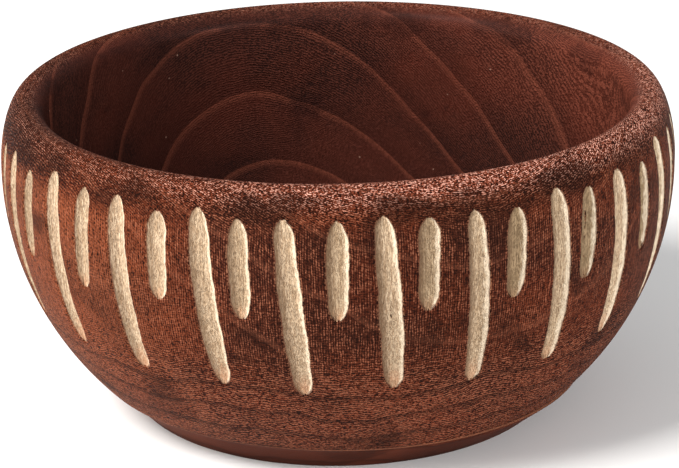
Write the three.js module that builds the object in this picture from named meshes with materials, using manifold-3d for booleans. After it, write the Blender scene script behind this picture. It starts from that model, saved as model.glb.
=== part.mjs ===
// A turned hardwood bowl, dyed brown, with a ring of gouge cuts round its belly.
// Millimetres, +Z up. The origin is the centre of the flat foot, on the surface the bowl stands on.
// bowl_body is the dyed wood with every cut hollowed out of it. Each long_cut and short_cut is the
// thin face of bare pale wood that lies open in one cut.
import * as THREE from "three";
import { mergeVertices } from "three/addons/utils/BufferGeometryUtils.js";
import Module from "manifold-3d";

const wasm = await Module();
wasm.setup();

// Driving dimensions of the turned shape.
const BOWL_RADIUS = 80;
const BOWL_HEIGHT = 76;
const BELLY_HEIGHT = 58.4; // height of the widest circle
const BELLY_DROP = 75.4; // vertical half axis of the belly's ellipse
const FOOT_BAND = 7.8; // height of the straight bevel above the foot
const LIP_TOP_RADIUS = 74; // circle along the crest of the lip
const LIP_INNER_RADIUS = 69.2; // narrowest circle, just inside the mouth
const LIP_INNER_DROP = 4.7; // from the crest down to that circle
const WALL = 9.5; // thickness at the belly
const FLOOR = 10; // thickness at the middle of the foot
const INSIDE_BELLY_HEIGHT = 52; // height of the widest circle inside
const INSIDE_FULLNESS = 2.4; // exponent of the inside curve: 2 is an ellipse, more is fuller

// Driving dimensions of the gouge cuts. A lean is in degrees round the bowl, from top to bottom.
const CUT_PAIRS = 24; // one long and one short cut each
const LONG_CUT = { top: 70.4, bottom: 28.6, width: 5.4, depth: 1.3, lean: 1.6, stations: 6 };
const SHORT_CUT = { top: 69.4, bottom: 47.4, width: 5, depth: 1.2, lean: 0, stations: 5 };
const LINING = 0.6; // thickness of the bare wood face at the middle of a cut
const GAP = 0.3; // clearance between a lining and the wood round it
const CUT_CLEARANCE = 2.5; // how far the cutting shape stands proud of the belly
const BLUNTNESS = 0.3; // exponent of a cut's run-out: 0 is square-ended, more is more pointed
const TIP_SHARE = 0.3; // a cut's width at its very tips, as a share of its full width
const SECTION_SHARES = [-1, -0.4, 0.4, 1]; // a cut's section is an arc through these shares of its half width

// Fineness of the turned solids.
const TURNED_SIDES = 72;
const BELLY_STEPS = 8;
const SHOULDER_STEPS = 4;
const LIP_STEPS = 4;
const INSIDE_STEPS = 8;

const DEGREE = Math.PI / 180;
const PITCH = 360 / (2 * CUT_PAIRS);

const dyedWood = new THREE.MeshStandardMaterial({ color: 0x5e2a1c, roughness: 0.6, metalness: 0 });
const bareWood = new THREE.MeshStandardMaterial({ color: 0xcbae86, roughness: 0.85, metalness: 0 });

// Radius of the outside at a height: an ellipse below the widest circle and the shoulder above it.
function outsideRadius(z) {
  if (z <= BELLY_HEIGHT) {
    return BOWL_RADIUS * Math.sqrt(1 - ((BELLY_HEIGHT - z) / BELLY_DROP) ** 2);
  }
  const rise = (z - BELLY_HEIGHT) / (BOWL_HEIGHT - BELLY_HEIGHT);
  return LIP_TOP_RADIUS + (BOWL_RADIUS - LIP_TOP_RADIUS) * Math.sqrt(1 - rise ** 2);
}

// The closed outline of the turned bowl, from the middle of the foot round the lip to the inside floor.
function turnedOutline() {
  const points = [new THREE.Vector2(0, 0), new THREE.Vector2(outsideRadius(0), 0)];
  const bandAngle = Math.asin((BELLY_HEIGHT - FOOT_BAND) / BELLY_DROP);
  for (let i = 0; i <= BELLY_STEPS; i++) {
    const angle = bandAngle * (1 - i / BELLY_STEPS);
    const radius = BOWL_RADIUS * Math.cos(angle);
    points.push(new THREE.Vector2(radius, BELLY_HEIGHT - BELLY_DROP * Math.sin(angle)));
  }
  for (let i = 1; i <= SHOULDER_STEPS; i++) {
    const angle = (Math.PI / 2) * (i / SHOULDER_STEPS);
    points.push(
      new THREE.Vector2(
        LIP_TOP_RADIUS + (BOWL_RADIUS - LIP_TOP_RADIUS) * Math.cos(angle),
        BELLY_HEIGHT + (BOWL_HEIGHT - BELLY_HEIGHT) * Math.sin(angle),
      ),
    );
  }
  for (let i = 1; i <= LIP_STEPS; i++) {
    const angle = (Math.PI / 2) * (i / LIP_STEPS);
    points.push(
      new THREE.Vector2(
        LIP_TOP_RADIUS - (LIP_TOP_RADIUS - LIP_INNER_RADIUS) * Math.sin(angle),
        BOWL_HEIGHT - LIP_INNER_DROP * (1 - Math.cos(angle)),
      ),
    );
  }
  const insideRadius = BOWL_RADIUS - WALL;
  const insideDepth = INSIDE_BELLY_HEIGHT - FLOOR;
  for (let i = 0; i < INSIDE_STEPS; i++) {
    const angle = (Math.PI / 2) * (i / INSIDE_STEPS);
    points.push(
      new THREE.Vector2(
        insideRadius * Math.cos(angle) ** (2 / INSIDE_FULLNESS),
        INSIDE_BELLY_HEIGHT - insideDepth * Math.sin(angle) ** (2 / INSIDE_FULLNESS),
      ),
    );
  }
  points.push(new THREE.Vector2(0, FLOOR));
  return points;
}

// LatheGeometry turns about Y, so the result is stood up to turn about Z.
function turnedBowl() {
  const geometry = new THREE.LatheGeometry(turnedOutline(), TURNED_SIDES);
  geometry.rotateX(Math.PI / 2);
  return geometry;
}

// A closed solid through rings of points, each ring with the same count, with a flat cap on both ends.
function solidThroughRings(rings) {
  const count = rings[0].length;
  const corners = rings.flat().flatMap((p) => [p.x, p.y, p.z]);
  const faces = [];
  for (let r = 0; r + 1 < rings.length; r++) {
    for (let i = 0; i < count; i++) {
      const here = r * count + i;
      const beside = r * count + ((i + 1) % count);
      faces.push(here, beside, beside + count, here, beside + count, here + count);
    }
  }
  const last = (rings.length - 1) * count;
  for (let i = 1; i + 1 < count; i++) {
    faces.push(0, i + 1, i);
    faces.push(last, last + i, last + i + 1);
  }
  const geometry = new THREE.BufferGeometry();
  geometry.setAttribute("position", new THREE.Float32BufferAttribute(corners, 3));
  geometry.setIndex(faces);
  return geometry;
}

// The point on the belly at a height and angle, moved along the surface and out from it.
function bellyPoint(z, degrees, along, out) {
  const step = 0.01;
  const slope = (outsideRadius(z + step) - outsideRadius(z - step)) / (2 * step);
  const outward = new THREE.Vector2(1, -slope).normalize();
  const radius = outsideRadius(z) + out * outward.x;
  const angle = degrees * DEGREE + along / outsideRadius(z);
  return new THREE.Vector3(radius * Math.sin(angle), -radius * Math.cos(angle), z + out * outward.y);
}

// How far through the cut each station lies, closer together towards the two ends.
function stationShares(count) {
  return Array.from({ length: count }, (_, i) => (1 - Math.cos((Math.PI * i) / (count - 1))) / 2);
}

// Half width and depth at a share of a cut's length: full in the middle, running out at both ends.
function cutSection(cut, share) {
  const fullness = (4 * share * (1 - share)) ** BLUNTNESS;
  const half = (cut.width / 2) * (TIP_SHARE + (1 - TIP_SHARE) * fullness);
  return { half, depth: cut.depth * fullness };
}

// How far below its edges the arc of a cut lies at a share of its half width, from 0 to 1.
function arcDrop(share) {
  return 1 - share * share;
}

// The wood that the gouge takes out: the lining, its clearance and the open hollow above it.
function cutterRing(cut, share, z, degrees) {
  const { half, depth } = cutSection(cut, share);
  const floor = SECTION_SHARES.map((s) =>
    bellyPoint(z, degrees, s * half, -(LINING + GAP) - (depth - LINING / 2) * arcDrop(s)),
  );
  const top = [1, -1].map((s) => bellyPoint(z, degrees, s * half, CUT_CLEARANCE));
  return [...floor, ...top];
}

// The bare wood face: a thin shell that follows the hollow, clear of the dyed wood all round.
function liningRing(cut, share, z, degrees) {
  const { half, depth } = cutSection(cut, share);
  const inner = half - GAP;
  const hollow = (s) => -(depth - LINING / 2) * arcDrop(s);
  const back = SECTION_SHARES.map((s) => bellyPoint(z, degrees, s * inner, hollow(s) - LINING));
  const face = SECTION_SHARES.map((s) => bellyPoint(z, degrees, s * inner, hollow(s))).reverse();
  return [...back, ...face];
}

// Rings from the top of the cut to its bottom, which leans a little round the bowl.
function ringsOf(cut, place, ringAt, inset) {
  const length = place.top - place.bottom;
  return stationShares(cut.stations).map((share) => {
    const z = place.top - inset - share * (length - 2 * inset);
    return ringAt(cut, share, z, place.degrees + place.lean * share);
  });
}

// The gouge was guided by eye, so spacing, length and lean wander by these hand-set amounts.
// The lists are repeated round the bowl, and cut 0 is the short one that faces along -Y.
const START = -0.7;
const SPACING_WANDER = [
  0.3, 0, -0.4, -0.4, -0.5, -0.2, -0.7, -0.5, 0, 0, 0.9, 0.2, 0.6, -0.3, -0.6, 0.4, 0.8, 0.1, 0.5, -0.4,
  -0.8, -0.2, 0.3, 0.7, -0.1, 0.2, -0.5, 0.5, 0, -0.6, 0.4, 0.6, -0.2, 0.1, -0.4, 0.3, -0.3, 0, -0.5,
  -1, -0.5, 0.1, 0.8, 0.7, 1.1, 0.6, -0.2, -0.6,
];
const TOP_WANDER = [0.1, -0.2, -0.1, -0.9, -0.8, 0.1, -0.5, -0.5, -0.8, 1, 0.8, 0.4, -0.2, 0.6, 0.1, -0.6];
const BOTTOM_WANDER = [-0.4, 0.1, 0.9, -0.6, 0.6, -0.1, 0.3, 0.9, 0.3, 1.4, -0.5, 0.4, 1.6, 0.2, -0.7, -1.6];
const LEAN_WANDER = [-0.1, 0.4, -0.3, -0.4, -0.6, -0.1, -0.7, -0.4, -0.1, 0.5, 0.3, 0.7];

function wander(list, index) {
  return list[index % list.length];
}

function cutPlace(cut, index) {
  return {
    degrees: START + PITCH * index + wander(SPACING_WANDER, index),
    top: cut.top + wander(TOP_WANDER, index),
    bottom: cut.bottom + wander(BOTTOM_WANDER, index),
    lean: cut.lean + wander(LEAN_WANDER, index),
  };
}

function asManifold(geometry) {
  const bare = geometry.clone();
  bare.deleteAttribute("normal");
  bare.deleteAttribute("uv");
  const merged = mergeVertices(bare, 1e-3);
  return new wasm.Manifold(
    new wasm.Mesh({
      numProp: 3,
      vertProperties: merged.attributes.position.array,
      triVerts: new Uint32Array(merged.index.array),
    }),
  );
}

function asGeometry(solid) {
  const mesh = solid.getMesh();
  const geometry = new THREE.BufferGeometry();
  geometry.setAttribute("position", new THREE.Float32BufferAttribute(mesh.vertProperties, mesh.numProp));
  geometry.setIndex(Array.from(mesh.triVerts));
  geometry.computeVertexNormals();
  return geometry;
}

function namedMesh(name, geometry, material) {
  const mesh = new THREE.Mesh(geometry, material);
  mesh.name = name;
  return mesh;
}

const bowl = new THREE.Group();
let body = asManifold(turnedBowl());
for (let index = 0; index < 2 * CUT_PAIRS; index++) {
  const isLong = index % 2 === 1;
  const cut = isLong ? LONG_CUT : SHORT_CUT;
  const place = cutPlace(cut, index);
  body = body.subtract(asManifold(solidThroughRings(ringsOf(cut, place, cutterRing, 0))));
  const number = String(Math.floor(index / 2) + 1).padStart(2, "0");
  const name = (isLong ? "long_cut_" : "short_cut_") + number;
  bowl.add(namedMesh(name, solidThroughRings(ringsOf(cut, place, liningRing, GAP)), bareWood));
}
bowl.add(namedMesh("bowl_body", asGeometry(body), dyedWood));

export default bowl;
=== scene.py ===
"""A turned, dyed hardwood bowl with a ring of gouge cuts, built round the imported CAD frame. Metres, +Z up."""
import math

import bpy
import numpy as np
from mathutils import Matrix, Vector


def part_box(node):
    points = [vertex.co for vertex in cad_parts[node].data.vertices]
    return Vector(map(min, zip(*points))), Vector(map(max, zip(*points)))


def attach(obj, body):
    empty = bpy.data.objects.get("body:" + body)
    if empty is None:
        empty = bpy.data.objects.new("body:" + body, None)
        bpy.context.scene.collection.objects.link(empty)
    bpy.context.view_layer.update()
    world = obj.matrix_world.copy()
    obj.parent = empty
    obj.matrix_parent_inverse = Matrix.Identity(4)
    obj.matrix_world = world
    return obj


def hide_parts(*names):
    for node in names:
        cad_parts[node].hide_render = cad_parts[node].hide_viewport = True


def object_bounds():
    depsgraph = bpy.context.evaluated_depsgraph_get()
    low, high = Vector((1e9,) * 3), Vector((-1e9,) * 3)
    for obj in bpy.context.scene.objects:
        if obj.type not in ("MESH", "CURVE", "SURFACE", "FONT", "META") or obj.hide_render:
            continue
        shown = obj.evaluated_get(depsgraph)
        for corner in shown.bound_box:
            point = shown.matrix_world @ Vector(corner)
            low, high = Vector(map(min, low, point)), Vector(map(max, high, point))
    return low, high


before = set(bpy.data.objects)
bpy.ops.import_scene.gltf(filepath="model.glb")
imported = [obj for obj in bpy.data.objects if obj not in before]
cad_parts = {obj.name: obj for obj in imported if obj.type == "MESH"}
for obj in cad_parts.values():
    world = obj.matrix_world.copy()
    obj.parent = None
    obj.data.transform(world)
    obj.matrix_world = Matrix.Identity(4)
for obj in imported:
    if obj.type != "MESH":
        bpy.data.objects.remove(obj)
cad_low, cad_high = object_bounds()

MM = 0.001
RANDOM = np.random.default_rng(24)

# The turned outline. Its overall size is the CAD body's, and the rest are the same driving dimensions.
BOWL_RADIUS = -cad_low.x
BOWL_HEIGHT = cad_high.z
BELLY_HEIGHT = 58.4 * MM
BELLY_DROP = 75.4 * MM
FOOT_BAND = 7.8 * MM
BAND_TILT = 1.0 * MM  # the foot's bevel is this much higher on one side
FOOT_EDGE = 0.7 * MM
LIP_TOP_RADIUS = 74 * MM
LIP_INNER_RADIUS = 69.2 * MM
LIP_INNER_DROP = 4.7 * MM
WALL = 9.5 * MM
FLOOR = 10 * MM
INSIDE_BELLY_HEIGHT = 52 * MM
INSIDE_FULLNESS = 2.4

# The gouge cuts.
CAD_GAP = 0.3 * MM  # the CAD linings are this much smaller than the cuts all round
CUT_DEPTH = 1.25 * MM
TIP_LENGTH = {"top": 4.4 * MM, "low": 3.8 * MM}
LINING_SET_BACK = 0.1 * MM  # the bare wood starts this far under the edge of the dyed wood
LINING_SHARE = 0.98  # and leaves this much of the cut's width for the crisp edge
LINING_SKIRT = 0.3 * MM
LINING_ROW = 0.5 * MM
LINING_END = 0.35 * MM  # a lining's ends are as wide as the cut is this far in
LINING_NARROWEST = 0.25 * MM  # its least half width
LINING_JITTER = 0.03 * MM
FRAY = {"top": 0.35 * MM, "low": 0.6 * MM}  # how far the fibres at its ends are torn
FRAY_LENGTH = {"top": 3 * MM, "low": 4 * MM}  # and how far from the ends that shows
BODY_RECESS = 0.35 * MM  # how far the body's hollow lies behind the lining
EDGE_WAVES = ((0.13 * MM, 13 * MM), (0.07 * MM, 5 * MM), (0.05 * MM, 2.1 * MM))  # sizes and pitches
NO_CUT = 3 * MM  # the distance that is noted where no cut is near


# ---------------------------------------------------------------- the turned surface

def outside_radius(z):
    """The outline's radius at a height: an elliptical belly, then the shoulder up to the lip's crest."""
    z = np.asarray(z, float)
    drop = (BELLY_HEIGHT - z) / BELLY_DROP
    belly = BOWL_RADIUS * np.sqrt(np.clip(1 - drop**2, 0, 1))
    rise = (z - BELLY_HEIGHT) / (BOWL_HEIGHT - BELLY_HEIGHT)
    shoulder = LIP_TOP_RADIUS + (BOWL_RADIUS - LIP_TOP_RADIUS) * np.sqrt(np.clip(1 - rise**2, 0, 1))
    return np.where(z <= BELLY_HEIGHT, belly, shoulder)


def wobble(angle, z):
    """How far the hand-finished surface lies inside the true turned one."""
    slow = np.sin(2 * angle + 0.7) + 0.6 * np.sin(3 * angle + 90 * z)
    fine = np.sin(11 * angle + 210 * z) + np.sin(17 * angle - 160 * z + 1.3)
    return (0.10 + 0.05 * slow / 1.6 + 0.025 * fine / 2) * MM


def skin_point(angle, z, along=0.0, out=0.0):
    """Points on the outside at a height and angle, moved sideways along the skin and out from it."""
    step = 0.02 * MM
    slope = (outside_radius(z + step) - outside_radius(z - step)) / (2 * step)
    length = np.sqrt(1 + slope**2)
    radius = outside_radius(z)
    turned = angle + along / radius
    offset = out - wobble(turned, z)
    r = radius + offset / length
    return np.stack([r * np.sin(turned), -r * np.cos(turned), z - offset * slope / length], -1)


def ease(x):
    """A smooth step from 0 to 1."""
    x = np.clip(x, 0, 1)
    return x * x * (3 - 2 * x)


# ---------------------------------------------------------------- the gouge cuts

def wrap(angle):
    return (angle + math.pi) % (2 * math.pi) - math.pi


def read_cut(name, node):
    """Where a cut lies, read from its CAD lining."""
    corners = np.array([v.co for v in node.data.vertices])
    angle = np.arctan2(corners[:, 0], -corners[:, 1])
    middle = math.atan2(np.sin(angle).mean(), np.cos(angle).mean())
    angle = middle + wrap(angle - middle)
    low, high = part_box(name)
    near_end = 0.08 * (high.z - low.z)
    ends = {}
    for end, chosen in (
        ("top", corners[:, 2] > high.z - near_end),
        ("low", corners[:, 2] < low.z + near_end),
    ):
        ends[end] = (angle[chosen].min() + angle[chosen].max()) / 2
    cut = {
        "name": name,
        "long": name.startswith("long"),
        "top": high.z + CAD_GAP,
        "low": low.z - CAD_GAP,
        "top_angle": ends["top"],
        "low_angle": ends["low"],
    }
    beside = np.abs(angle - centre_angle(cut, corners[:, 2])) * outside_radius(corners[:, 2])
    cut["half"] = beside.max() + CAD_GAP
    return cut


def give_character(cut):
    """The carver's hand: each cut's own tips, edges and depth; how pale it is, partly at random and partly
    painted light and shade; and how strong the painted shade on its left wall is.
    """
    cut["half"] *= RANDOM.uniform(0.94, 1.05)
    cut["tip"] = {end: TIP_LENGTH[end] * RANDOM.uniform(0.7, 1.3) for end in TIP_LENGTH}
    cut["skew"] = RANDOM.uniform(-0.09, 0.09)
    cut["fullest"] = RANDOM.uniform(0.2, 0.5)
    cut["depth"] = CUT_DEPTH * RANDOM.uniform(0.85, 1.1)
    # Painted light and shade: cuts on the left are painted paler, short ones darker, the more so on the right,
    # and the painted shade on a cut's left wall is weaker on both sides than in the middle.
    to_the_right = math.sin(cut["top_angle"])
    tone_and_shade = RANDOM.uniform(0, 0.4) + 0.2 + 0.45 * min(to_the_right, 0.1)
    if not cut["long"]:
        tone_and_shade += 0.3 + 0.6 * max(to_the_right, 0)
    cut["tone_and_shade"] = min(1.0, max(0.0, tone_and_shade))
    cut["shade"] = max(0.3, 0.85 + 0.6 * min(to_the_right, 0) - 0.5 * max(to_the_right - 0.3, 0))
    cut["waves"] = {
        side: [(RANDOM.uniform(0.4, 1) * size, pitch * RANDOM.uniform(0.8, 1.25), RANDOM.uniform(0, 6.28))
               for size, pitch in EDGE_WAVES]
        for side in (-1, 1)
    }


def share_down(cut, z):
    return (cut["top"] - z) / (cut["top"] - cut["low"])


def centre_angle(cut, z):
    share = np.clip(share_down(cut, z), 0, 1)
    return cut["top_angle"] + share * (cut["low_angle"] - cut["top_angle"])


def round_end(distance, length):
    """0 at a tip, rising like a quarter circle to 1."""
    x = np.clip(distance / length, 0, 1)
    return np.sqrt(1 - (1 - x) ** 2)


def half_width(cut, z, side):
    """A cut's half width on one side at a height: rounded off at both ends, and wavy between."""
    from_top = cut["top"] - z
    from_low = z - cut["low"]
    length = cut["top"] - cut["low"]
    upper = 0.88 * round_end(from_top, cut["tip"]["top"]) + 0.12 * ease(from_top / (cut["fullest"] * length))
    lower = 0.82 * round_end(from_low, cut["tip"]["low"]) + 0.18 * ease(from_low / (0.4 * length))
    shape = np.minimum(upper, 1) * np.minimum(lower, 1) * (1 + side * cut["skew"])
    waves = sum(size * np.sin(2 * math.pi * z / pitch + start) for size, pitch, start in cut["waves"][side])
    inside = (from_top > 0) & (from_low > 0)
    return np.where(inside, np.maximum(cut["half"] * shape + waves * ease(shape), 0), 0)


def hollow(cut, width, beside):
    """Depth of the round-bottomed cut at a distance from its middle: a narrower cut is a shallower one."""
    full = cut["depth"] * (width / cut["half"]) ** 2
    share = np.clip(np.abs(beside) / np.maximum(width, 1e-9), 0, 1)
    return full * (1 - share**2)


# ---------------------------------------------------------------- meshes

def make_mesh(name, points, faces, layers):
    """A smooth-shaded piece with one float attribute for each layer."""
    mesh = bpy.data.meshes.new(name)
    mesh.from_pydata([tuple(p) for p in points], [], faces)
    for layer, values in layers.items():
        attribute = mesh.attributes.new(layer, "FLOAT", "POINT")
        attribute.data.foreach_set("value", np.asarray(values, np.float32))
    mesh.polygons.foreach_set("use_smooth", [True] * len(mesh.polygons))
    mesh.update()
    piece = bpy.data.objects.new(name, mesh)
    bpy.context.scene.collection.objects.link(piece)
    return piece


CUT_ZONE = 25.5 * MM  # the body's rows lie close together from here up
SHOULDER_START = 72.2 * MM  # and from here up they are spaced by the shoulder's own curve
CUT_COLUMNS = np.array([-1, -0.93, -0.6, -0.2, 0.2, 0.6, 0.93, 1])  # shares of a cut's half width
LAND_COLUMNS = np.arange(1, 6) / 6  # shares of the way to the next cut
SUNK_SHARE = 0.96  # columns beyond this share of a cut's half width stay at the surface
NARROW = 0.4 * MM  # the body's columns come no closer than this to a cut's middle
RELAXED = 1.5 * MM  # and open out to this above and below it
RELAX_LENGTH = 6 * MM


def column_reach(cut, z, side):
    """How far the body's edge column stands from the cut's middle."""
    width = half_width(cut, z, side)
    beyond = np.maximum(z - cut["top"], cut["low"] - z)
    idle = NARROW + (RELAXED - NARROW) * ease(beyond / RELAX_LENGTH)
    return np.maximum(width, idle)


def outside_rows(z, cuts):
    """Angles, offsets and distances to the nearest cut for rows of the outside at heights z."""
    angles, outs, gaps = [], [], []
    radius = outside_radius(z)
    for cut, after in zip(cuts, cuts[1:] + cuts[:1]):
        centre = centre_angle(cut, z)
        reach = {side: column_reach(cut, z, side) for side in (-1, 1)}
        for column in CUT_COLUMNS:
            side = 1 if column > 0 else -1
            beside = abs(column) * reach[side]
            width = half_width(cut, z, side)
            sunk = beside < SUNK_SHARE * width
            angles.append(centre + side * beside / radius)
            outs.append(np.where(sunk, -hollow(cut, width, beside) - BODY_RECESS, 0))
            gaps.append(np.where(width > 0, 0, NO_CUT))
        start = centre + reach[1] / radius
        end = centre_angle(after, z) - column_reach(after, z, -1) / radius
        span = wrap(end - start)
        cut_here = np.maximum(half_width(cut, z, 1), half_width(after, z, -1)) > 0
        for share in LAND_COLUMNS:
            angles.append(start + share * span)
            outs.append(np.zeros_like(z))
            gaps.append(np.where(cut_here, min(share, 1 - share) * span * radius, NO_CUT))
    return np.stack(angles, -1), np.stack(outs, -1), np.stack(gaps, -1)


# Each row of the body is (kind, radius, height, tilt share, inside share, pebble share).

def foot_rows():
    """From near the middle of the underside, round the foot's edge and up its bevel."""
    foot_radius = float(outside_radius(0))
    bevel = float(outside_radius(FOOT_BAND)) - foot_radius
    rows = [("under", r, 0.0, 0, 0, 0.3) for r in np.array([1.5, 8, 16, 24, 32, 40, 46, 49]) * MM]
    for turn in np.linspace(0.15, 1, 4) * math.atan2(FOOT_BAND, bevel):
        r = foot_radius + FOOT_EDGE * (math.sin(turn) - 0.5)
        rows.append(("under", r, FOOT_EDGE * (1 - math.cos(turn)), 0, 0, 0.1))
    for share in np.linspace(0.16, 0.96, 6):
        rows.append(("band", foot_radius + share * bevel - 0.15 * MM, share * FOOT_BAND, share, 0, 0.12))
    return rows


def belly_rows():
    """Level rows over the belly, close together where the cuts are. Their radius is worked out later."""
    below = np.linspace(FOOT_BAND, CUT_ZONE, 17)[:-1]
    rows = []
    for z in np.concatenate([below, np.linspace(CUT_ZONE, SHOULDER_START, 70)]):
        tilt = max(0.0, 1 - (z - FOOT_BAND) / (CUT_ZONE - FOOT_BAND))
        rows.append(("belly", None, z, tilt, 0, 1))
    return rows


def lip_rows():
    """Up the top of the shoulder to the crest, then round the lip, smoother as it turns inwards."""
    rows = []
    shoulder_width = BOWL_RADIUS - LIP_TOP_RADIUS
    shoulder_height = BOWL_HEIGHT - BELLY_HEIGHT
    start = math.asin((SHOULDER_START - BELLY_HEIGHT) / shoulder_height)
    for turn in np.linspace(start, math.pi / 2, 9)[1:]:
        r = LIP_TOP_RADIUS + shoulder_width * math.cos(turn)
        rows.append(("lip", r, BELLY_HEIGHT + shoulder_height * math.sin(turn), 0, 0.0, 1))
    for turn in np.linspace(0, math.pi / 2, 10)[1:]:
        r = LIP_TOP_RADIUS - (LIP_TOP_RADIUS - LIP_INNER_RADIUS) * math.sin(turn)
        smooth = float(ease((turn - 0.1) / 0.75))
        z = BOWL_HEIGHT - LIP_INNER_DROP * (1 - math.cos(turn))
        rows.append(("lip", r, z, 0, smooth, 1 - 0.4 * smooth))
    return rows


def inside_rows():
    """Down from under the lip to the widest part inside, and round to near the middle of the floor."""
    rows = []
    widest = BOWL_RADIUS - WALL
    mouth = BOWL_HEIGHT - LIP_INNER_DROP
    for share in np.linspace(0, 1, 9)[1:]:
        r = LIP_INNER_RADIUS + (widest - LIP_INNER_RADIUS) * (1 - math.cos(math.pi * share)) / 2
        rows.append(("inside", r, mouth + share * (INSIDE_BELLY_HEIGHT - mouth), 0, 1, 0.75))
    for turn in np.linspace(0, math.pi / 2, 30)[1:-1]:
        r = widest * math.cos(turn) ** (2 / INSIDE_FULLNESS)
        z = INSIDE_BELLY_HEIGHT - (INSIDE_BELLY_HEIGHT - FLOOR) * math.sin(turn) ** (2 / INSIDE_FULLNESS)
        rows.append(("inside", r, z, 0, 1, 0.75))
    return rows


def ring_faces(rows, columns):
    """Faces of a closed skin made of rings, with a last point at the foot's middle and one at the floor's."""
    faces = []
    for i in range(rows - 1):
        here, above = i * columns, (i + 1) * columns
        for j in range(columns):
            k = (j + 1) % columns
            faces.append((here + j, here + k, above + k, above + j))
    foot, floor = rows * columns, rows * columns + 1
    last = (rows - 1) * columns
    for j in range(columns):
        k = (j + 1) % columns
        faces.append((foot, k, j))
        faces.append((floor, last + j, last + k))
    return faces


def body_mesh(cuts):
    """The whole bowl as one closed skin whose columns follow the edges of the cuts."""
    rows = foot_rows() + belly_rows() + lip_rows() + inside_rows()
    heights = np.array([row[2] for row in rows])
    # The columns are laid out as the cuts lie at a row's height. Inside, they stay as they are at the crest.
    held = np.clip(heights, FOOT_BAND, BOWL_HEIGHT - 0.01 * MM)
    held[[row[0] == "inside" for row in rows]] = BOWL_HEIGHT - 0.01 * MM
    angles, outs, gaps = outside_rows(held, cuts)
    columns = angles.shape[1]
    points = []
    for i, (kind, r, z, tilt, _, _) in enumerate(rows):
        angle = angles[i]
        height = z - BAND_TILT * tilt * np.sin(angle)
        if kind == "belly":
            points.append(skin_point(angle, height, out=outs[i]))
            continue
        inset = wobble(angle, height) * (0 if kind == "under" else 1)
        outward = -1 if kind == "inside" else 1
        ring = r - inset * outward
        points.append(np.stack([ring * np.sin(angle), -ring * np.cos(angle), height + 0 * angle], -1))
    points = np.concatenate(points + [np.array([[0, 0, 0], [0, 0, FLOOR]])])
    layers = {
        "inside": np.append(np.repeat([row[4] for row in rows], columns), [0, 1]),
        "pebble": np.append(np.repeat([row[5] for row in rows], columns), [0.3, 0.35]),
        "cut_gap": np.append(gaps.ravel(), [NO_CUT, NO_CUT]) / MM,
    }
    return make_mesh("turned_bowl", points, ring_faces(len(rows), columns), layers)


def shell_faces(rows, columns):
    """Faces of a closed shell: a front and a back grid of points, joined round the rim."""
    back = rows * columns
    faces = []
    for i in range(rows - 1):
        for j in range(columns - 1):
            a, b = i * columns + j, (i + 1) * columns + j
            faces.append((a, b, b + 1, a + 1))
            faces.append((back + a, back + a + 1, back + b + 1, back + b))
    rim = [i * columns for i in range(rows)]
    rim += [(rows - 1) * columns + j for j in range(1, columns)]
    rim += [i * columns + columns - 1 for i in range(rows - 2, -1, -1)]
    rim += list(range(columns - 2, 0, -1))
    for here, after in zip(rim, rim[1:] + rim[:1]):
        faces.append((here, here + back, after + back, after))
    return faces


def lining_mesh(cut):
    """The bare wood face of one cut: a thin closed shell with ragged fibre ends."""
    length = cut["top"] - cut["low"]
    rows = int(length / LINING_ROW)
    across = np.sin(np.linspace(-math.pi / 2, math.pi / 2, 17))
    # The rows lie a little closer together towards the ends.
    share = (1 - np.cos(np.linspace(0, math.pi, rows))) / 2 * 0.35 + np.linspace(0, 1, rows) * 0.65
    frays = {end: RANDOM.uniform(-1, 1, len(across)) * FRAY[end] for end in FRAY}
    jitter = {side: RANDOM.normal(0, LINING_JITTER, rows) for side in (-1, 1)}
    face, back, lie_across, lie_along, edge = [], [], [], [], []
    for i, s in enumerate(share):
        z_mean = cut["top"] - s * length
        inner = np.clip(z_mean, cut["low"] + LINING_END, cut["top"] - LINING_END)
        top_fray = frays["top"] * ease(1 - s * length / FRAY_LENGTH["top"])
        low_fray = frays["low"] * ease(1 - (1 - s) * length / FRAY_LENGTH["low"])
        z = z_mean + top_fray + low_fray
        widths = {side: float(half_width(cut, inner, side)) + jitter[side][i] for side in (-1, 1)}
        widths = {side: max(w, LINING_NARROWEST) for side, w in widths.items()}
        width = np.where(across > 0, widths[1], widths[-1])
        beside = LINING_SHARE * across * width
        floor = -hollow(cut, width, beside) - LINING_SET_BACK
        face.append(skin_point(centre_angle(cut, z), z, beside, floor))
        back.append(skin_point(centre_angle(cut, z), z, beside, floor - LINING_SKIRT))
        lie_across.append(across)
        lie_along.append(np.full(len(across), s))
        ends = np.minimum(s, 1 - s) * length
        edge.append(np.minimum((1 - np.abs(across)) * width, ends) / MM)
    points = np.concatenate(face + back)
    layers = {
        "across": np.concatenate(lie_across * 2),
        "along": np.concatenate(lie_along * 2),
        "edge": np.concatenate(edge * 2),
        # A cut's paleness with its painted light and shade, and the strength of the painted shade on its left
        # wall.
        "tone_and_shade": np.full(len(points), cut["tone_and_shade"]),
        "shade": np.full(len(points), cut["shade"]),
    }
    return make_mesh(cut["name"] + "_face", points, shell_faces(rows, len(across)), layers)


# ---------------------------------------------------------------- materials

def srgb(red, green, blue):
    """An 8-bit display colour as the linear values that shaders take."""
    channels = [c / 255 for c in (red, green, blue)]
    return tuple(((c + 0.055) / 1.055) ** 2.4 if c > 0.04 else c / 12.92 for c in channels) + (1,)


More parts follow.
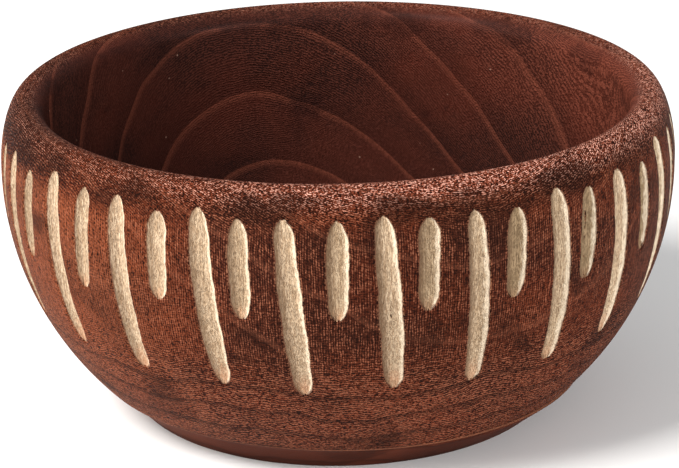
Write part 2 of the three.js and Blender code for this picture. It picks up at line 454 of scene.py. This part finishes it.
class Shader:
    """One node material, with a short method for each kind of node that it uses."""

    def __init__(self, name):
        self.material = bpy.data.materials.new(name)
        self.material.use_nodes = True
        self.tree = self.material.node_tree
        self.surface = self.tree.nodes["Principled BSDF"]

    def set(self, socket, value):
        if isinstance(value, bpy.types.NodeSocket):
            self.tree.links.new(value, socket)
        else:
            socket.default_value = value

    def node(self, kind, inputs, output=0, **settings):
        node = self.tree.nodes.new("ShaderNode" + kind)
        for key, value in settings.items():
            setattr(node, key, value)
        for key, value in inputs.items():
            self.set(node.inputs[key], value)
        return node.outputs[output]

    def math(self, operation, *values):
        return self.node("Math", dict(enumerate(values)), operation=operation)

    def vector(self, operation, *values, output=0):
        return self.node("VectorMath", dict(enumerate(values)), output, operation=operation)

    def split(self, vector):
        node = self.tree.nodes.new("ShaderNodeSeparateXYZ")
        self.set(node.inputs[0], vector)
        return node.outputs

    def join(self, x, y, z):
        return self.node("CombineXYZ", {0: x, 1: y, 2: z})

    def mix_values(self, share, first, second):
        return self.node("Mix", {0: share, 2: first, 3: second}, data_type="FLOAT")

    def scaled(self, vector, x, y, z):
        return self.vector("MULTIPLY", vector, (x, y, z))

    def noise(self, vector, scale, detail=2, roughness=0.5, output=0):
        inputs = {"Vector": vector, "Scale": scale, "Detail": detail, "Roughness": roughness}
        return self.node("TexNoise", inputs, output)

    def cells(self, vector, scale):
        """Distance to the nearest of a scatter of points."""
        return self.node("TexVoronoi", {"Vector": vector, "Scale": scale}, "Distance")

    def ramp(self, value, first, second, start=0.0, end=1.0):
        """A smooth change from start, at the first value given, to end, at the second."""
        inputs = {0: value, 1: first, 2: second, 3: start, 4: end}
        return self.node("MapRange", inputs, interpolation_type="SMOOTHSTEP")

    def plateau(self, value, rise, fall):
        """1 between two slopes. Each is given as the value where it is 0 and the value where it is 1."""
        return self.math("MULTIPLY", self.ramp(value, *rise), self.ramp(value, *fall))

    def mix(self, share, first, second):
        """Colours mixed by a share from 0 to 1."""
        return self.node("Mix", {0: share, 6: first, 7: second}, 2, data_type="RGBA")

    def stain(self, colour, mask, strength, other):
        """A colour drawn towards another where a mask is high, by at most the strength."""
        return self.mix(self.math("MULTIPLY", mask, strength), colour, other)

    def layer(self, name):
        return self.node("Attribute", {}, "Fac", attribute_name=name)

    def bump(self, height, strength, distance):
        return self.node("Bump", {"Height": height, "Strength": strength, "Distance": distance})


def millimetres(shader):
    coordinates = shader.node("TexCoord", {}, "Object")
    return shader.scaled(coordinates, 1000, 1000, 1000)


# Below, heights, places and scales are in millimetres: x runs to the right, y to the back and z up.

# The growth rings are ovals round a line that runs through the bowl aslant, from low at the back to
# high in front.
RING_LINE_HEIGHT = 67  # above the foot, where the line crosses the middle of the bowl
RING_LINE_FALL = 1.16  # how much lower the line is for each millimetre further back
RING_LINE_DRIFT = 0.22  # and how far it drifts to the left
RING_WIDE, RING_TALL = 1.5, 2.5  # the ovals' proportions
RING_POWER, RING_RATE, RING_START = 1.5, 0.0175, -0.338  # the rings crowd together further out

# The scraped texture. Rates are in radians for each millimetre.
ROW_RATE = 10.5  # rows of cells about 0.6 mm apart
LIP_LINE_RATE = 4.2
MARKS_AROUND = 880  # whole number of upright scraping marks round the bowl
LIP_TRAVEL = 75  # the way round the lip for each radian
BELLY_LINE_PITCH = 6.5
RELIEF_MIDDLE = 0.42  # the height of the skin that a change of contrast leaves alone

# Where the finish changes: not yet at the first value, and wholly at the second.
CUTS_BEGIN = (27, 42)
CUTS_END = (71, 65)
LIP_BEGINS = (65, 71)
IN_FRONT = (45, 10)  # along y, and the others are heights

DYE_DARK = srgb(27, 11, 7)
DYE_MIDDLE = srgb(65, 30, 19)
DYE_WARM = srgb(88, 39, 22)
DYE_WORN = srgb(144, 72, 50)
# Painted light for the left side of the belly.
DYE_PAINTED_LIGHT = srgb(142, 76, 47)
# Pale ring lines, and pale ridge tops that are partly a painted highlight.
DYE_LIGHT = srgb(138, 84, 62)
# Painted glints on the front of the crest.
DYE_PAINTED_GLINT = srgb(240, 182, 162)
BAND_DARK = srgb(50, 21, 13)
# A painted highlight where the foot band meets the belly.
BAND_HIGHLIGHT = srgb(150, 98, 74)
TORN_FIBRE = srgb(180, 136, 102)

INSIDE_DARK = srgb(43, 23, 19)
INSIDE_WARM = srgb(74, 33, 24)
# Painted light for the upper right wall inside.
INSIDE_PAINTED_LIGHT = srgb(96, 46, 34)
INSIDE_SMUDGE = srgb(30, 15, 14)
# Painted shade for the floor and the left wall inside.
INSIDE_FLOOR_SHADE = srgb(32, 16, 14)
INSIDE_LEFT_SHADE = srgb(32, 19, 18)
INSIDE_RING = srgb(29, 14, 12)
INSIDE_LINE = srgb(122, 66, 50)
INSIDE_SPECK = srgb(190, 150, 130)
# The inside grain, paler where light is painted on the upper right wall.
GRAIN_DARK, GRAIN_PALE = srgb(98, 52, 41), srgb(130, 70, 54)

# The bare wood of the palest and the darkest cut. How dark a cut is comes partly from painted light and shade.
BARE_DEEP = srgb(178, 149, 119), srgb(120, 98, 71)
BARE_PALE = srgb(212, 188, 160), srgb(152, 128, 98)
BARE_PORE = srgb(92, 68, 46)
BARE_LINE = srgb(88, 66, 46)
BARE_LOW_END = srgb(176, 118, 84)
# Painted shade for the left wall of a cut, and a painted highlight for its right edge.
BARE_PAINTED_SHADE = srgb(88, 62, 40)
BARE_PAINTED_HIGHLIGHT = srgb(236, 218, 192)
BARE_STAIN = srgb(92, 48, 30)


def ring_distance(shader, place):
    """How far out a place lies among the growth rings, with a slow wander."""
    wander = shader.noise(place, 0.035, 2, output="Color")
    wander = shader.scaled(shader.vector("SUBTRACT", wander, (0.5, 0.5, 0.5)), 3.5, 3.5, 5)
    x, y, z = shader.split(shader.vector("ADD", place, wander))
    sideways = shader.math("MULTIPLY_ADD", y, RING_LINE_DRIFT, x)
    upright = shader.math("SUBTRACT", z, RING_LINE_HEIGHT)
    upright = shader.math("MULTIPLY_ADD", y, RING_LINE_FALL, upright)
    sideways = shader.math("DIVIDE", sideways, RING_WIDE)
    upright = shader.math("DIVIDE", upright, RING_TALL)
    return shader.vector("LENGTH", shader.join(sideways, upright, 0.0), output="Value")


class Spot:
    """What the parts of the dyed finish read about the point that is being shaded."""

    def __init__(self, shader):
        self.place = millimetres(shader)
        self.x, self.y, self.z = shader.split(self.place)
        self.around = shader.math("ARCTAN2", self.x, shader.math("MULTIPLY", self.y, -1))
        self.radius = shader.vector("LENGTH", shader.join(self.x, self.y, 0.0), output="Value")
        self.inside = shader.layer("inside")
        self.pebble = shader.layer("pebble")
        self.gap = shader.layer("cut_gap")
        self.ring_distance = ring_distance(shader, self.place)
        outside = shader.math("SUBTRACT", 1.0, self.inside)
        self.on_lip = shader.math("MULTIPLY", shader.ramp(self.z, *LIP_BEGINS), outside)
        self.beside_cuts = shader.math("MULTIPLY", shader.plateau(self.z, CUTS_BEGIN, CUTS_END), outside)
        # Painted light: the left side of the belly, towards the lamps, is painted paler.
        self.painted_light = shader.math("MULTIPLY", shader.ramp(self.x, -22, -66), shader.ramp(self.z, 70, 64))
        # A height that sags and rises slowly on its way round.
        self.sag = shader.noise(shader.scaled(self.place, 1, 1, 0.6), 0.05, 2)
        self.level = shader.math("MULTIPLY_ADD", self.sag, 9, self.z)
        # Open pores and torn grain.
        self.grit = shader.ramp(shader.noise(self.place, 1.9, 2, 0.6), 0.3, 0.7)
        # Broad clouds of dye, and smudges, with painted shadow added in a band under the lip.
        self.patches = shader.noise(shader.scaled(self.place, 1, 1, 1.4), 0.035, 3)
        painted_shadow_under_lip = shader.plateau(self.z, LIP_BEGINS, (75.5, 73))
        smudges_and_shadow = shader.noise(shader.scaled(self.place, 1, 1, 1.5), 0.06, 4, 0.6)
        smudges_and_shadow = shader.math("MULTIPLY_ADD", painted_shadow_under_lip, 0.14, smudges_and_shadow)
        self.smudges_and_shadow = shader.ramp(smudges_and_shadow, 0.54, 0.7)


def growth_rings(shader, spot):
    """Masks for the thin pale line at each growth ring and for the darker wood on its outer side."""
    distance = shader.math("POWER", spot.ring_distance, RING_POWER)
    share = shader.math("FRACT", shader.math("MULTIPLY_ADD", distance, RING_RATE, RING_START))
    return shader.plateau(share, (0.86, 0.98), (1.0, 0.98)), shader.ramp(share, 0.45, 0.0)


def broken_lines(shader, place, rate, jog, strength, breaks):
    """Ridges from 0 to 1 along a coordinate, jogged by one texture and worn away where the other is low."""
    phase = shader.math("MULTIPLY_ADD", jog, strength, shader.math("MULTIPLY", place, rate))
    ridges = shader.math("MULTIPLY_ADD", shader.math("SINE", phase), 0.5, 0.5)
    return shader.math("MULTIPLY", ridges, shader.ramp(breaks, 0.3, 0.55, 0.3, 1.0))


def scraped_figure(shader, spot):
    """Rows of softer cells, broken into short dashes, and upright scraping marks between the cuts.

    The rows follow the growth rings inside and from the top of the belly up, and lie level below.
    """
    jog = shader.noise(spot.place, 0.8, 2, 0.6)
    depth = shader.math("MULTIPLY", spot.ring_distance, RING_TALL)
    ring_place = shader.join(spot.x, spot.y, shader.math("MULTIPLY", depth, 0.6))
    ring_rows = broken_lines(shader, depth, ROW_RATE, jog, 11, shader.noise(ring_place, 1.1, 1))
    breaks = shader.noise(shader.scaled(spot.place, 1, 1, 1.6), 0.8, 1)
    level_rows = broken_lines(shader, spot.level, ROW_RATE, jog, 10, breaks)
    by_rings = shader.math("MAXIMUM", spot.inside, shader.ramp(spot.z, 52, 58))
    rows = shader.mix_values(by_rings, level_rows, ring_rows)
    lean = shader.noise(shader.scaled(spot.place, 1, 1, 0.25), 0.8, 2, 0.6)
    breaks = shader.noise(shader.scaled(spot.place, 1, 1, 0.5), 0.8, 1)
    marks = broken_lines(shader, spot.around, MARKS_AROUND, lean, 11, breaks)
    return shader.mix_values(shader.math("MULTIPLY", spot.beside_cuts, 0.7), rows, marks)


def skin_relief(shader, spot):
    """The height of the pebbled skin, from about 0 to 1. It drives both the colour and the bump."""
    figure = scraped_figure(shader, spot)
    grit_share = shader.math("MULTIPLY_ADD", spot.beside_cuts, -0.1, 0.46)
    relief = shader.mix_values(grit_share, figure, spot.grit)
    # On the lip the torn grain gathers into short dashes that lie round the bowl.
    lip_place = shader.join(shader.math("MULTIPLY", spot.around, LIP_TRAVEL), spot.radius, spot.z)
    dashes = shader.noise(shader.scaled(lip_place, 2.1, 1.7, 3.3), 1, 1.5)
    dashes = shader.mix_values(0.3, shader.ramp(dashes, 0.36, 0.64), figure)
    front = shader.ramp(spot.y, *IN_FRONT, 0.2, 1)
    pitted = shader.math("MULTIPLY", shader.ramp(spot.x, -70, -20, 0.3, 0.7), front)
    relief = shader.mix_values(shader.math("MULTIPLY", spot.on_lip, pitted), relief, dashes)
    contrast = shader.math("MULTIPLY_ADD", spot.beside_cuts, -0.35, 1.25)
    # The painted light on the left side also flattens the relief's contrast there.
    contrast = shader.math("MULTIPLY_ADD", spot.painted_light, -0.12, contrast)
    contrast = shader.math("MULTIPLY", shader.ramp(spot.pebble, 0.0, 0.8), contrast)
    offset = shader.math("SUBTRACT", relief, RELIEF_MIDDLE)
    return shader.math("MULTIPLY_ADD", offset, contrast, RELIEF_MIDDLE)


def foot_band(shader, spot):
    """Masks for the smooth band round the foot and for the thin painted highlight where it meets the belly."""
    above = shader.math("MULTIPLY_ADD", shader.math("SINE", spot.around), BAND_TILT / MM, spot.z)
    above = shader.math("SUBTRACT", above, FOOT_BAND / MM)
    return shader.ramp(above, 0.1, -0.1), shader.ramp(shader.math("ABSOLUTE", above), 0.32, 0.12)


def belly_lines(shader, spot):
    """A mask for the darker growth lines that sag round the bowl below the cuts."""
    share = shader.math("FRACT", shader.math("DIVIDE", spot.level, BELLY_LINE_PITCH))
    lines = shader.plateau(share, (0.66, 0.93), (1.0, 0.94))
    return shader.math("MULTIPLY", lines, shader.ramp(spot.z, 36, 28))


def lip_lines(shader, spot):
    """A mask for the dark growth lines that run along the left side of the lip."""
    up_lip = shader.math("MULTIPLY_ADD", spot.sag, 6, shader.math("SUBTRACT", spot.z, spot.radius))
    lines = shader.ramp(shader.math("SINE", shader.math("MULTIPLY", up_lip, LIP_LINE_RATE)), 0.45, 0.95)
    left_lip = shader.math("MULTIPLY", spot.on_lip, shader.ramp(spot.x, -18, -48))
    return shader.math("MULTIPLY", lines, left_lip)


def dye_tint(shader, spot):
    """The dye outside: cloudy, worn on the crest, paler low on the belly, painted paler on the left as painted
    light, and darker between the middle cuts.
    """
    tint = shader.mix(shader.ramp(spot.patches, 0.36, 0.64), DYE_MIDDLE, DYE_WARM)
    worn_and_pale = shader.math("MULTIPLY", shader.ramp(spot.z, 71, 76), shader.ramp(spot.x, -50, 20, 0.1, 1))
    worn_and_pale = shader.math("MAXIMUM", worn_and_pale, shader.ramp(spot.z, 34, 22, 0, 0.35))
    tint = shader.stain(tint, worn_and_pale, 0.5, DYE_WORN)
    # Painted light on the left side of the belly.
    tint = shader.stain(tint, spot.painted_light, 0.5, DYE_PAINTED_LIGHT)
    from_middle = shader.math("ABSOLUTE", shader.math("SUBTRACT", spot.x, 12))
    darker_middle = shader.math("MULTIPLY", shader.ramp(from_middle, 40, 5, 0, 0.4), spot.beside_cuts)
    return shader.mix(darker_middle, tint, DYE_DARK)


def ridge_colour(shader, spot):
    """The tops of the ridges are pale, partly as a painted highlight, and painted glints brighten them on the
    front of the crest.
    """
    front = shader.ramp(spot.y, *IN_FRONT, 0.3, 1)
    painted_glint = shader.math("MULTIPLY", shader.ramp(spot.x, -60, 10, 0.3, 1), front)
    painted_glint = shader.math("MULTIPLY", shader.ramp(spot.z, 70, 75.5), painted_glint)
    return shader.mix(painted_glint, DYE_LIGHT, DYE_PAINTED_GLINT)


def outside_colour(shader, spot, relief, ring_line, ring_shade):
    colour = shader.mix(shader.ramp(relief, 0.16, 0.5), DYE_DARK, dye_tint(shader, spot))
    # Painted highlight: the ridge tops are painted pale, with painted glints on the front of the crest.
    ridge = shader.math("SUBTRACT", relief, shader.math("MULTIPLY", spot.on_lip, 0.1))
    colour = shader.stain(colour, shader.ramp(ridge, 0.5, 0.85), 0.85, ridge_colour(shader, spot))
    colour = shader.stain(colour, ring_line, 0.12, DYE_LIGHT)
    colour = shader.stain(colour, ring_shade, 0.2, DYE_DARK)
    colour = shader.stain(colour, belly_lines(shader, spot), 0.5, DYE_DARK)
    # Smudges, and the painted shadow under the lip.
    colour = shader.stain(colour, spot.smudges_and_shadow, 0.55, DYE_DARK)
    colour = shader.stain(colour, lip_lines(shader, spot), 0.4, DYE_DARK)
    band, band_highlight = foot_band(shader, spot)
    colour = shader.stain(colour, band, 0.45, BAND_DARK)
    # A painted highlight where the foot band meets the belly.
    colour = shader.stain(colour, band_highlight, 0.5, BAND_HIGHLIGHT)
    # Pale torn fibres along the edges of the cuts.
    nibs = shader.math("MULTIPLY", shader.ramp(spot.gap, 0.3, 0.05), shader.ramp(spot.grit, 0.5, 0.8))
    return shader.stain(colour, nibs, 0.25, TORN_FIBRE)


def inside_colour(shader, spot, relief, ring_line, ring_shade):
    # Painted light: the upper right wall inside is painted paler, grain and all.
    painted_light = shader.math("MULTIPLY", shader.ramp(spot.x, 25, 62), shader.ramp(spot.z, 40, 62))
    colour = shader.mix(shader.ramp(spot.patches, 0.35, 0.65), INSIDE_DARK, INSIDE_WARM)
    colour = shader.stain(colour, painted_light, 0.25, INSIDE_PAINTED_LIGHT)
    grain = shader.mix(painted_light, GRAIN_DARK, GRAIN_PALE)
    colour = shader.stain(colour, shader.ramp(relief, 0.25, 0.65), 0.6, grain)
    # Smudges, and the painted shadow near the lip.
    colour = shader.stain(colour, shader.ramp(spot.smudges_and_shadow, 0.2, 1.0), 0.35, INSIDE_SMUDGE)
    # Painted shade: the floor and the left wall are darkened.
    colour = shader.mix(shader.ramp(spot.z, 62, 30, 0, 0.4), colour, INSIDE_FLOOR_SHADE)
    colour = shader.mix(shader.ramp(spot.x, -15, -60, 0, 0.35), colour, INSIDE_LEFT_SHADE)
    colour = shader.stain(colour, ring_shade, 0.26, INSIDE_RING)
    worn_line = shader.math("MULTIPLY", ring_line, shader.ramp(spot.smudges_and_shadow, 0.9, 0.0, 0.12, 0.4))
    colour = shader.mix(worn_line, colour, INSIDE_LINE)
    # A few specks of dust.
    speck = shader.ramp(shader.cells(spot.place, 0.16), 0.05, 0.025)
    speck = shader.math("MULTIPLY", speck, shader.ramp(spot.smudges_and_shadow, 0.3, 0.0))
    return shader.stain(colour, speck, 0.5, INSIDE_SPECK)


def dyed_wood():
    shader = Shader("dyed_wood")
    spot = Spot(shader)
    relief = skin_relief(shader, spot)
    rings = growth_rings(shader, spot)
    outside = outside_colour(shader, spot, relief, *rings)
    within = inside_colour(shader, spot, relief, *rings)
    surface = shader.surface.inputs
    shader.set(surface["Base Color"], shader.mix(spot.inside, outside, within))
    rough = shader.math("SUBTRACT", 0.55, shader.math("MULTIPLY", spot.inside, 0.1))
    shader.set(surface["Roughness"], rough)
    surface["Specular IOR Level"].default_value = 0.02
    # The upper wall inside keeps a trace of polish.
    polish = shader.math("MULTIPLY", spot.inside, shader.ramp(spot.z, 50, 70, 0, 0.04))
    shader.set(surface["Coat Weight"], polish)
    surface["Coat Roughness"].default_value = 0.38
    shader.set(surface["Normal"], shader.bump(relief, 1.0, 0.3 * MM))
    return shader.material


def bare_wood():
    shader = Shader("bare_wood")
    place = millimetres(shader)
    tone_and_shade = shader.layer("tone_and_shade")
    streaks = shader.noise(shader.scaled(place, 3.2, 3.2, 0.22), 1, 2, 0.6)
    pores = shader.ramp(shader.noise(shader.scaled(place, 4.8, 4.8, 1.3), 1, 1), 0.46, 0.68)
    lines = shader.ramp(shader.noise(shader.scaled(place, 5.5, 5.5, 0.16), 1, 1), 0.54, 0.66)
    torn = shader.noise(shader.scaled(place, 1.8, 1.8, 0.5), 1, 3, 0.6)

    # The cut's paleness, partly painted light and shade.
    colour = shader.mix(tone_and_shade, *BARE_DEEP)
    colour = shader.mix(shader.ramp(streaks, 0.35, 0.66), colour, shader.mix(tone_and_shade, *BARE_PALE))
    colour = shader.stain(colour, pores, 0.46, BARE_PORE)
    colour = shader.stain(colour, lines, 0.42, BARE_LINE)
    low_end = shader.ramp(shader.math("MULTIPLY_ADD", torn, 0.2, shader.layer("along")), 0.94, 1.1)
    colour = shader.stain(colour, low_end, shader.ramp(tone_and_shade, 0, 1, 0.6, 0.2), BARE_LOW_END)
    # Painted shade darkens the left wall of a cut, and a painted highlight lightens its right edge.
    side = shader.math("MULTIPLY_ADD", torn, 0.8, shader.layer("across"))
    colour = shader.stain(colour, shader.ramp(side, 0.42, -0.5), shader.layer("shade"), BARE_PAINTED_SHADE)
    colour = shader.mix(shader.ramp(side, 0.9, 1.25, 0, 0.6), colour, BARE_PAINTED_HIGHLIGHT)
    # Dye has crept in over the edge here and there.
    crept = shader.ramp(shader.math("MULTIPLY_ADD", torn, -0.5, shader.layer("edge")), 0.05, -0.2)
    colour = shader.stain(colour, crept, 0.8, BARE_STAIN)

    surface = shader.surface.inputs
    shader.set(surface["Base Color"], colour)
    surface["Roughness"].default_value = 0.85
    surface["Specular IOR Level"].default_value = 0.25
    height = shader.math("SUBTRACT", streaks, pores)
    shader.set(surface["Normal"], shader.bump(height, 0.8, 0.2 * MM))
    return shader.material


# ---------------------------------------------------------------- floor, light and camera

WORLD_STRENGTH = 0.38
LENS = 140.35  # millimetres, on a sensor 36 mm wide
CAMERA_DISTANCE = 0.6394  # from the middle of the bowl's height
CAMERA_RISE = 0.3507  # radians above the horizon
CAMERA_ROLL = -0.0196
LAMP_TARGET = Vector((0, 0, 0.04))


def studio_floor():
    bpy.ops.mesh.primitive_plane_add(size=6, location=(0, 0, -0.02 * MM))
    floor = bpy.context.object
    floor.name = "studio_floor"
    shader = Shader("pale_floor")
    shader.surface.inputs["Base Color"].default_value = (0.93, 0.93, 0.93, 1)
    shader.surface.inputs["Roughness"].default_value = 0.9
    floor.data.materials.append(shader.material)


def soft_light(name, place, size, power, colour=(1, 1, 1)):
    """A square lamp aimed at the bowl."""
    lamp = bpy.data.lights.new(name, "AREA")
    lamp.size = size
    lamp.energy = power
    lamp.color = colour
    holder = bpy.data.objects.new(name, lamp)
    holder.location = place
    holder.rotation_euler = (LAMP_TARGET - Vector(place)).to_track_quat("-Z", "Y").to_euler()
    bpy.context.scene.collection.objects.link(holder)


def studio_light():
    world = bpy.data.worlds.new("studio")
    world.use_nodes = True
    background = world.node_tree.nodes["Background"]
    background.inputs["Color"].default_value = (1, 1, 1, 1)
    background.inputs["Strength"].default_value = WORLD_STRENGTH
    bpy.context.scene.world = world
    bpy.context.scene.view_settings.view_transform = "Standard"
    soft_light("window", (-0.75, -0.5, 1.0), 0.6, 27, (1, 0.98, 0.95))
    soft_light("fill", (0.9, -0.8, 0.4), 0.7, 13)
    soft_light("side", (-1.1, -0.4, 0.25), 0.4, 6, (1, 0.97, 0.92))


def camera():
    view = bpy.data.cameras.new("camera")
    view.sensor_width = 36
    view.lens = LENS
    holder = bpy.data.objects.new("camera", view)
    target = Vector((0, 0, BOWL_HEIGHT / 2))
    backwards = Vector((0, -math.cos(CAMERA_RISE), math.sin(CAMERA_RISE)))
    holder.location = target + CAMERA_DISTANCE * backwards
    tilt = Matrix.Rotation(math.pi / 2 - CAMERA_RISE, 4, "X")
    holder.rotation_euler = (tilt @ Matrix.Rotation(CAMERA_ROLL, 4, "Z")).to_euler()
    bpy.context.scene.collection.objects.link(holder)
    bpy.context.scene.camera = holder


def main():
    studio_floor()
    studio_light()
    camera()
    wood, bare = dyed_wood(), bare_wood()
    cuts = [read_cut(name, node) for name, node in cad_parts.items() if name != "bowl_body"]
    cuts.sort(key=lambda cut: cut["top_angle"])
    for cut in cuts:
        give_character(cut)
    body = body_mesh(cuts)
    body.data.materials.append(wood)
    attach(body, "root")
    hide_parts("bowl_body")
    for cut in cuts:
        lining = lining_mesh(cut)
        lining.data.materials.append(bare)
        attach(lining, "root")
        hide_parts(cut["name"])


main()
